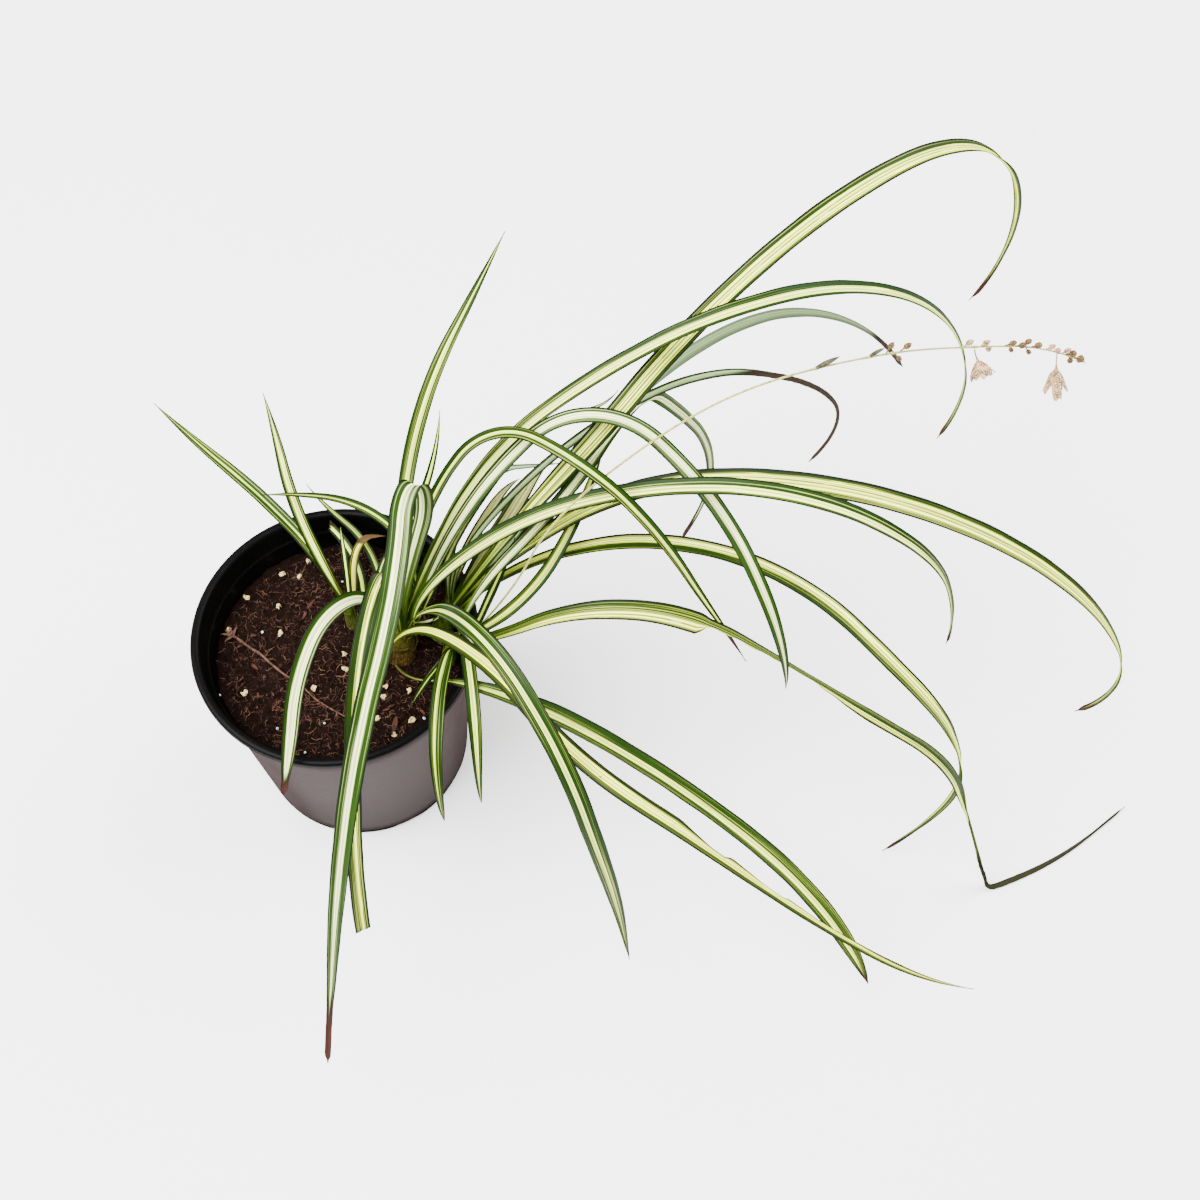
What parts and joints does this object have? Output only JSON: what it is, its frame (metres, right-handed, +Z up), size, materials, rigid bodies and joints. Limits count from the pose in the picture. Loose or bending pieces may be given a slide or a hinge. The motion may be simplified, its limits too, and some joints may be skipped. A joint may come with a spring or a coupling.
{
  "type": "potted spider plant",
  "caption": "Variegated spider plant with long arching leaves and a faded flower stalk, growing in soil in a tapered round plastic nursery pot.",
  "frame": {"origin": "centre of the pot's underside, on the surface that the pot stands on", "axes": "+Z up along the pot's axis, +X towards the side that most leaves arch to, +Y to the back"},
  "size_m": [0.5039, 0.3997, 0.2966],
  "materials": {
    "pot_plastic": "satin",
    "potting_soil": "matte",
    "crown_sheath": "satin",
    "leaf_blade": "satin",
    "flower_stalk": "satin",
    "dry_scale": "matte",
    "petal": "matte",
    "dry_runner": "matte"
  },
  "bodies": {
    "root": {"pot": "pot_plastic", "soil": "potting_soil", "crown_main": "crown_sheath", "crown_back": "crown_sheath", "crown_side": "crown_sheath", "crown_offshoot": "crown_sheath", "leaf_main_back_left": "leaf_blade", "leaf_main_inner_short": "leaf_blade", "leaf_main_upright": "leaf_blade", "leaf_main_upright_small": "leaf_blade", "leaf_main_crossing": "leaf_blade", "leaf_main_high_arch": "leaf_blade", "leaf_side_hooked": "leaf_blade", "leaf_main_middle_arch": "leaf_blade", "leaf_main_dry_tip": "leaf_blade", "leaf_main_low_arch": "leaf_blade", "leaf_main_front_straight": "leaf_blade", "leaf_main_front_hanging": "leaf_blade", "leaf_main_front_torn": "leaf_blade", "leaf_main_front_strap": "leaf_blade", "leaf_main_front_long": "leaf_blade", "leaf_main_front_cut": "leaf_blade", "leaf_main_front_left": "leaf_blade", "leaf_back_longest": "leaf_blade", "leaf_back_twisted": "leaf_blade", "leaf_back_slender": "leaf_blade", "leaf_back_short": "leaf_blade", "leaf_back_spotted_small": "leaf_blade", "leaf_back_spotted": "leaf_blade", "leaf_back_far_arch": "leaf_blade", "leaf_back_curled": "leaf_blade", "leaf_side_kinked": "leaf_blade", "leaf_side_hanging": "leaf_blade", "leaf_side_hanging_outer": "leaf_blade", "leaf_side_short": "leaf_blade", "leaf_side_upright_small": "leaf_blade", "leaf_side_upright": "leaf_blade", "leaf_offshoot_left": "leaf_blade", "leaf_offshoot_back": "leaf_blade", "leaf_offshoot_thin": "leaf_blade", "leaf_offshoot_cut": "leaf_blade", "leaf_offshoot_slim": "leaf_blade", "leaf_offshoot_dry_tip": "leaf_blade", "flower_stalk": "flower_stalk", "bract_lower": "dry_scale", "bract_middle": "dry_scale", "bud_inner": "dry_scale", "bud_middle": "dry_scale", "bud_outer": "dry_scale", "bud_tip": "dry_scale", "flower_faded": "petal", "flower_withered": "petal", "dry_runner": "dry_runner"}
  },
  "joints": []
}
